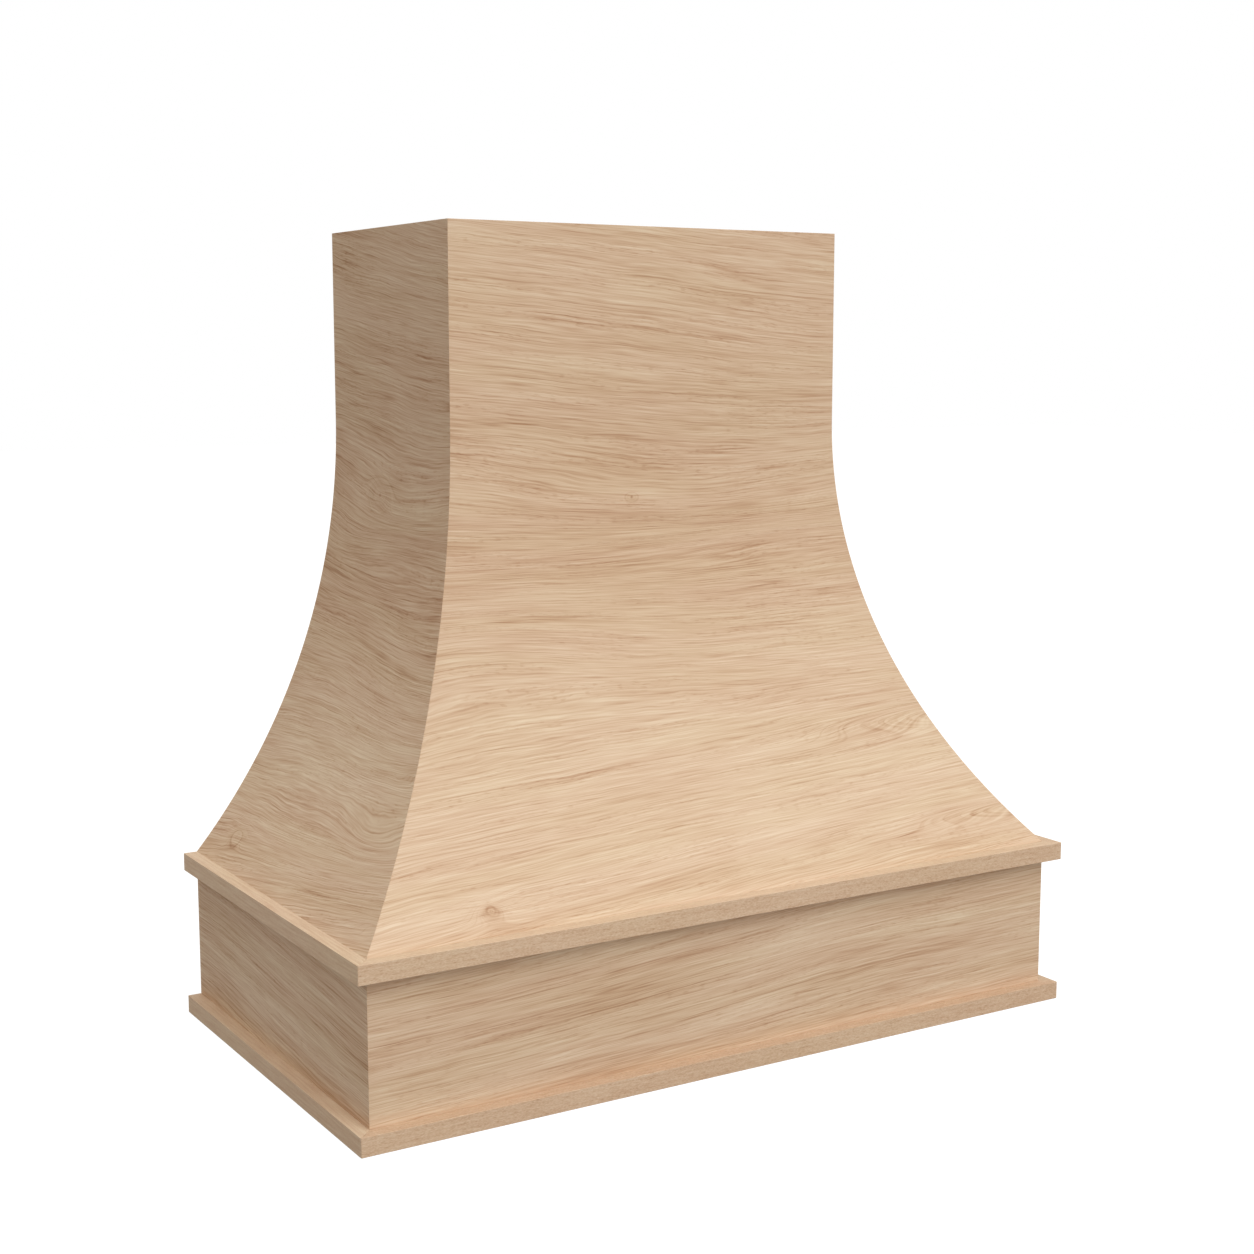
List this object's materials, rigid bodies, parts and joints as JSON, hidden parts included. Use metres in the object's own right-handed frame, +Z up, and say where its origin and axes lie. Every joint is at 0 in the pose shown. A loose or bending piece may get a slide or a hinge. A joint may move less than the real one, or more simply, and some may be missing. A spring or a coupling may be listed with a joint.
{
  "type": "wooden range hood cover",
  "caption": "Wooden range hood cover: a straight chimney sweeping out to an upright apron between two square bands, hollow for duct and insert, hung on a wall cleat.",
  "frame": {"origin": "centre of the footprint, at the underside of the lower band", "axes": "+Z up, +Y towards the wall, -Y towards the room, +X to the right seen from the room"},
  "size_m": [0.9144, 0.5016, 0.9144],
  "materials": {
    "oak_panel": "unfinished oak veneer, sanded",
    "oak_trim": "unfinished solid oak, sanded",
    "plywood": "raw birch plywood, sawn edges",
    "zinc_steel": "zinc plated"
  },
  "bodies": {
    "root": {"lower_band_front": "oak_trim", "lower_band_left": "oak_trim", "lower_band_right": "oak_trim", "lower_mitre_key_left": "plywood", "lower_mitre_key_right": "plywood", "apron_front": "oak_panel", "apron_left": "oak_panel", "apron_right": "oak_panel", "corner_block_left": "plywood", "corner_block_right": "plywood", "insert_rail_front": "plywood", "insert_rail_left": "plywood", "insert_rail_right": "plywood", "insert_rail_rear": "plywood", "insert_screw_front_1": "zinc_steel", "insert_screw_front_2": "zinc_steel", "insert_screw_front_3": "zinc_steel", "insert_screw_left_1": "zinc_steel", "insert_screw_left_2": "zinc_steel", "insert_screw_right_1": "zinc_steel", "insert_screw_right_2": "zinc_steel", "base_rail": "plywood", "corner_bracket_left": "zinc_steel", "corner_bracket_right": "zinc_steel", "bracket_screw_left_rail": "zinc_steel", "bracket_screw_left_apron": "zinc_steel", "bracket_screw_right_rail": "zinc_steel", "bracket_screw_right_apron": "zinc_steel", "upper_band_front": "oak_trim", "upper_band_left": "oak_trim", "upper_band_right": "oak_trim", "upper_mitre_key_left": "plywood", "upper_mitre_key_right": "plywood", "front_panel": "oak_panel", "left_panel": "oak_panel", "right_panel": "oak_panel", "front_stringer": "plywood", "left_stringer": "plywood", "right_stringer": "plywood", "hip_post_left": "plywood", "hip_post_right": "plywood", "front_rib_left": "plywood", "front_rib_right": "plywood", "side_rib_left": "plywood", "side_rib_right": "plywood", "rear_rib_left": "plywood", "rear_rib_right": "plywood", "top_rail_front": "plywood", "top_rail_left": "plywood", "top_rail_right": "plywood", "top_rail_rear": "plywood", "rib_screw_left_lower": "zinc_steel", "rib_screw_left_upper": "zinc_steel", "rib_screw_right_lower": "zinc_steel", "rib_screw_right_upper": "zinc_steel", "hanging_screw_1": "zinc_steel", "hanging_screw_2": "zinc_steel", "hanging_screw_3": "zinc_steel", "hanging_rail": "plywood", "wall_cleat": "plywood"}
  },
  "joints": []
}
